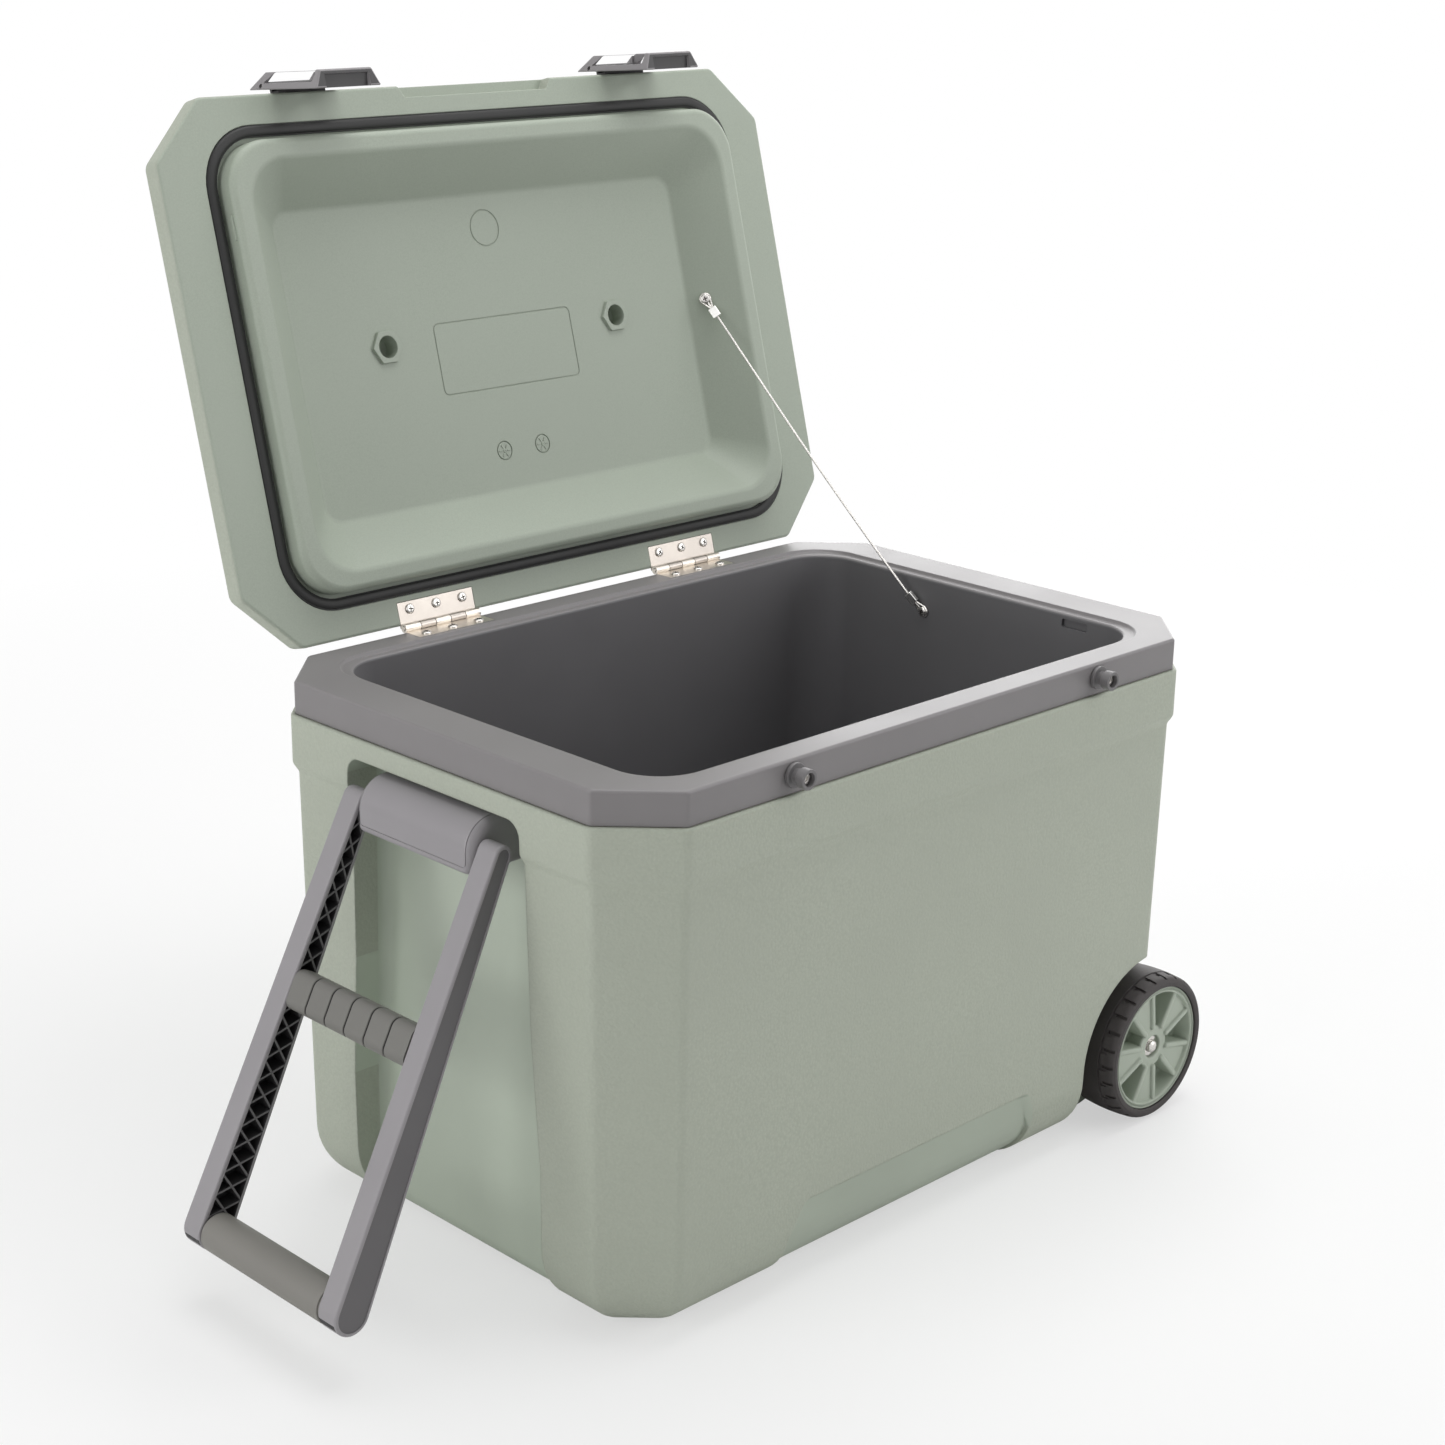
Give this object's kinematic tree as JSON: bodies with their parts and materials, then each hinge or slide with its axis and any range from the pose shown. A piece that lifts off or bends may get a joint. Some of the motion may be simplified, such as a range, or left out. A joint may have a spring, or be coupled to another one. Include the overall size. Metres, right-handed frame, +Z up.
{
  "type": "wheeled cooler",
  "caption": "Hard wheeled cooler box with a hinged insulated lid on a stay cable, two snap latches, a folding pull handle and two wheels on an axle.",
  "frame": {"origin": "on the floor plane, under the middle of the tub's flat underside", "axes": "+Z up; +X to the wheel end, -X to the pull handle; -Y to the latch side, +Y to the hinges"},
  "size_m": [0.7804, 0.5541, 0.8079],
  "materials": {
    "shell": "sage green moulded plastic, finely grained outside and smooth inside the lid",
    "liner": "dark grey moulded plastic, satin",
    "grey_plastic": "mid grey moulded plastic, satin",
    "dark_plastic": "dark grey moulded plastic",
    "grip_plastic": "warm grey satin grip plastic",
    "foam": "rigid insulating foam",
    "gasket": "soft black sealing rubber",
    "tyre": "dark grey solid rubber tyre",
    "steel": "plain stainless steel"
  },
  "bodies": {
    "tub": {"outer_shell": "shell", "inner_liner": "liner", "tub_foam": "foam", "latch_stud_left": "grey_plastic", "stud_screw_left": "steel", "hinge_tub_leaf_left": "steel", "hinge_pin_left": "steel", "tub_leaf_screw_left_a": "steel", "tub_leaf_screw_left_b": "steel", "tub_leaf_screw_left_c": "steel", "latch_stud_right": "grey_plastic", "stud_screw_right": "steel", "hinge_tub_leaf_right": "steel", "hinge_pin_right": "steel", "tub_leaf_screw_right_a": "steel", "tub_leaf_screw_right_b": "steel", "tub_leaf_screw_right_c": "steel", "stay_screw_tub": "steel", "stay_cable": "steel", "handle_bracket": "grey_plastic", "handle_pin_front": "steel", "axle_clip_front": "steel", "handle_pin_back": "steel", "axle_clip_back": "steel", "axle": "steel"},
    "lid": {"hinge_lid_leaf_left": "steel", "lid_leaf_screw_left_a": "steel", "lid_leaf_screw_left_b": "steel", "lid_leaf_screw_left_c": "steel", "latch_pin_left": "steel", "latch_base_left": "dark_plastic", "hinge_lid_leaf_right": "steel", "lid_leaf_screw_right_a": "steel", "lid_leaf_screw_right_b": "steel", "lid_leaf_screw_right_c": "steel", "latch_pin_right": "steel", "latch_base_right": "dark_plastic", "lid_shell": "shell", "lid_gasket": "gasket", "lid_liner": "shell", "lid_foam": "foam", "stay_screw_lid": "steel"},
    "latch_left": {"latch_left": "grey_plastic"},
    "latch_right": {"latch_right": "grey_plastic"},
    "handle": {"handle_arm_front": "grey_plastic", "handle_arm_back": "grey_plastic", "handle_crossbar": "grip_plastic", "handle_grip": "grip_plastic"},
    "wheel_front": {"tyre_front": "tyre", "wheel_hub_front": "shell"},
    "wheel_back": {"tyre_back": "tyre", "wheel_hub_back": "shell"}
  },
  "joints": [
    {"name": "lid_hinge", "type": "hinge", "parent": "tub", "child": "lid", "pos_m": [0, 0.2016, 0.4022], "axis": [1, 0, 0], "range_deg": [0, 105.1], "deforming": ["stay_cable"]},
    {"name": "latch_left_swing", "type": "hinge", "parent": "lid", "child": "latch_left", "pos_m": [-0.161, 0.32562, 0.79194], "axis": [-1, 0, 0], "range_deg": [0, 62]},
    {"name": "latch_right_swing", "type": "hinge", "parent": "lid", "child": "latch_right", "pos_m": [0.161, 0.32562, 0.79194], "axis": [-1, 0, 0], "range_deg": [0, 62]},
    {"name": "handle_swing", "type": "hinge", "parent": "tub", "child": "handle", "pos_m": [-0.308, 0, 0.3365], "axis": [0, 1, 0], "range_deg": [-26.9, 75]},
    {"name": "wheel_front_spin", "type": "hinge", "parent": "tub", "child": "wheel_front", "pos_m": [0.263, -0.183, 0.06], "axis": [0, 1, 0], "continuous": true},
    {"name": "wheel_back_spin", "type": "hinge", "parent": "tub", "child": "wheel_back", "pos_m": [0.263, 0.183, 0.06], "axis": [0, 1, 0], "continuous": true}
  ],
  "couplings": [
    {"joint": "latch_left_swing", "follows": "lid_hinge", "ratio": 0.3462},
    {"joint": "latch_right_swing", "follows": "lid_hinge", "ratio": 0.3462}
  ]
}
